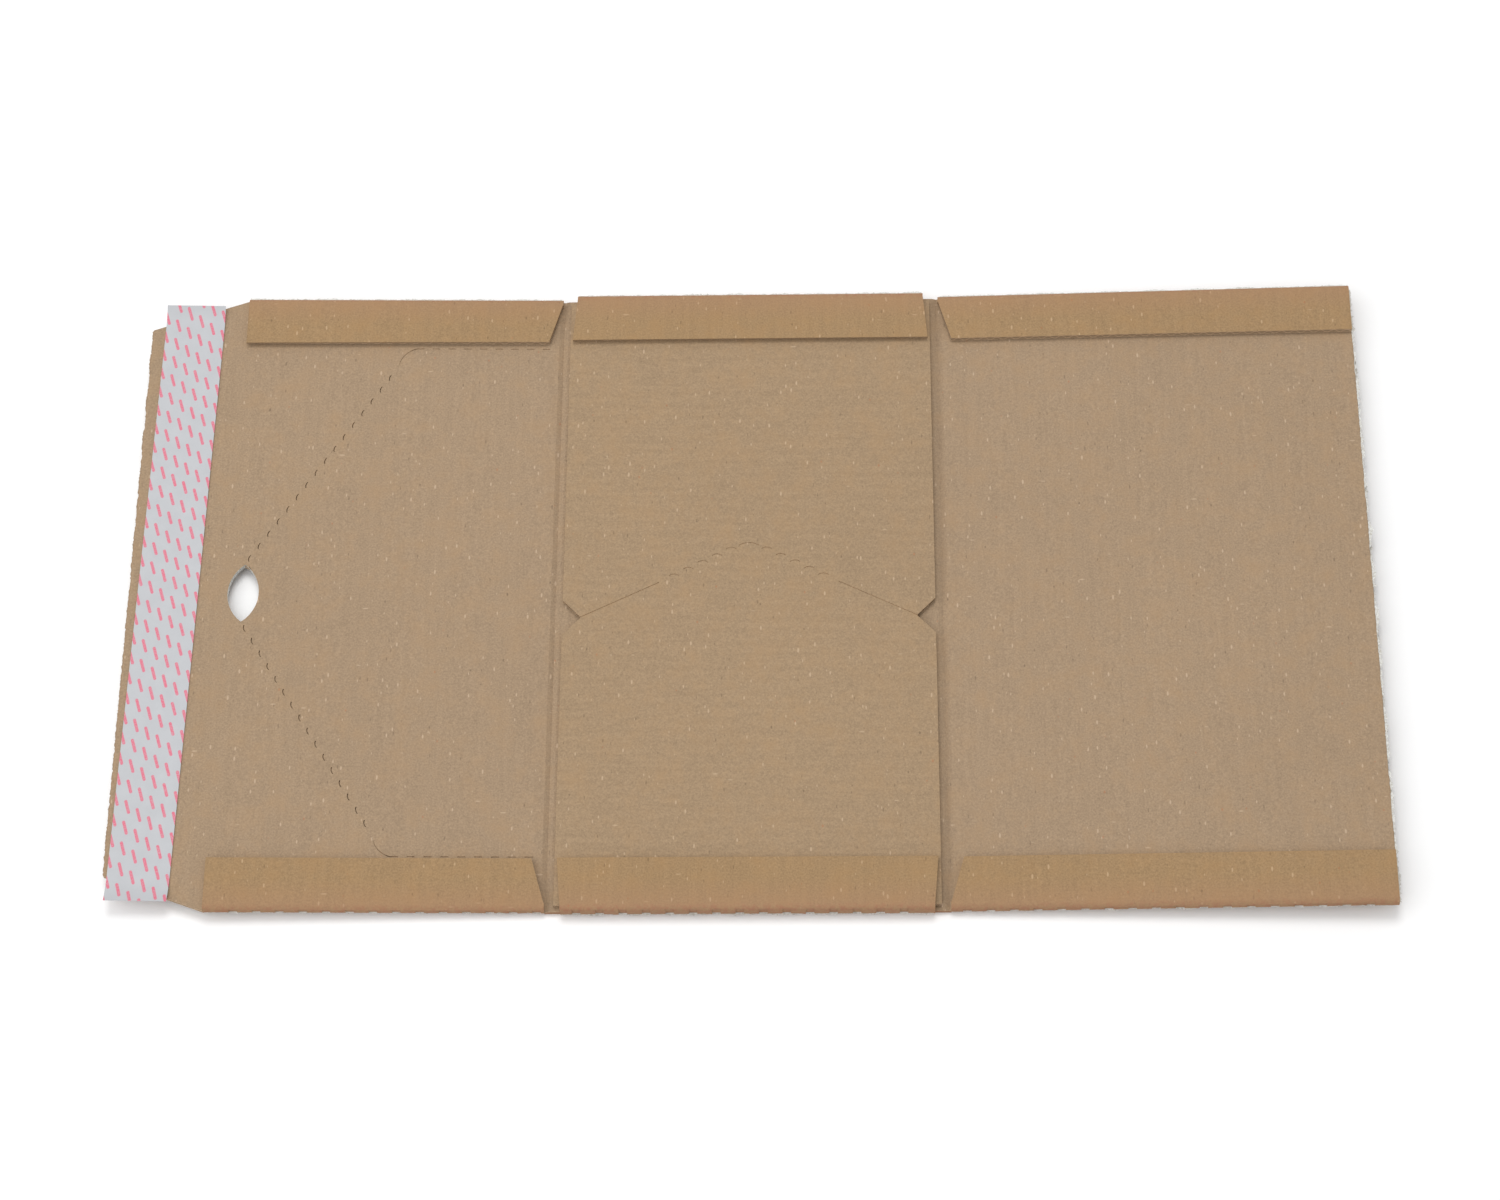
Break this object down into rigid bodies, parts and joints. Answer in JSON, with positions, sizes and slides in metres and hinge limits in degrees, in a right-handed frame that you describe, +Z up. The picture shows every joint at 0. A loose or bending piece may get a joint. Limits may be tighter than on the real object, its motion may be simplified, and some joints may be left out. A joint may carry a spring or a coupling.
{
  "type": "wrap-around book mailer",
  "caption": "Open, flat wrap-around mailer of brown corrugated board, with folded hems, an inner sheet, a tear opening with a thumb hole, and a closing strip under its liner.",
  "frame": {"origin": "middle of the base panel's underside, between the two creases, on the face it lies on", "axes": "+X along the open strip from the closing flap to the plain end, +Y across it along the flutes of the wrap, +Z up"},
  "size_m": [0.6083, 0.328, 0.0139],
  "materials": {
    "wrap_board": "rough paper",
    "sheet_board": "rough paper",
    "adhesive": "tacky",
    "liner_paper": "smooth paper"
  },
  "bodies": {
    "root": {"outer_wrap": "wrap_board", "inner_sheet": "sheet_board", "adhesive_strip": "adhesive", "release_liner": "liner_paper"}
  },
  "joints": []
}
